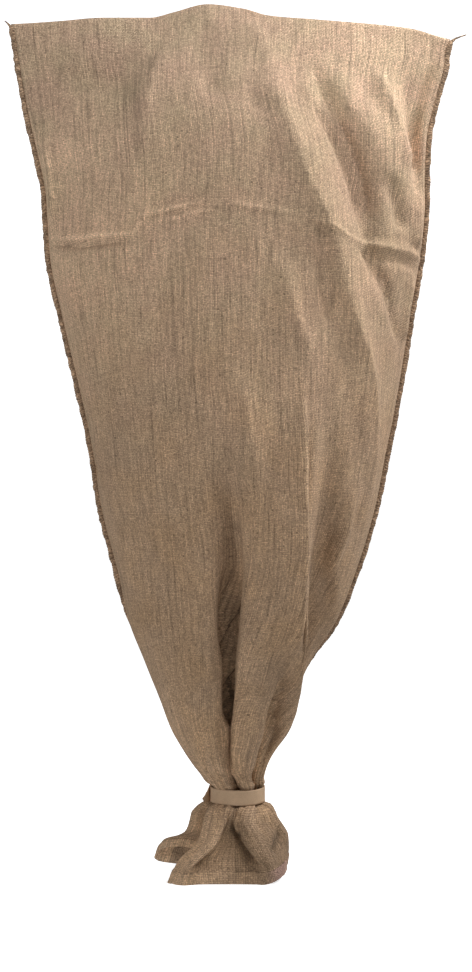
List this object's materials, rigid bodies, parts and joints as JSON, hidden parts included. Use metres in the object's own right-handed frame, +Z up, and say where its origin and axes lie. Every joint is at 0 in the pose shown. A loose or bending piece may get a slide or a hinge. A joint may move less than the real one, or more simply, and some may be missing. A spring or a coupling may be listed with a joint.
{
  "type": "burlap plant sack",
  "caption": "Burlap sack drawn over a shrub as winter cover, folded at the top, overlocked at both sides and tied round the trunk with a ribbon above its flared hem.",
  "frame": {"origin": "the place of the plant's tip, just under the top fold and above the middle of the tied neck, so that the trunk stands on the Z axis", "axes": "+Z up, -Y out of the front, +X towards the right seam seen from the front"},
  "size_m": [0.7863, 0.4097, 1.4772],
  "materials": {
    "burlap": "matte coarse jute plain weave",
    "overlock": "matte jute sewing thread, wrapped",
    "ribbon": "matte closely woven tape"
  },
  "bodies": {
    "root": {"sack": "burlap", "seam_left": "overlock", "seam_right": "overlock", "tie_band": "ribbon"}
  },
  "joints": []
}
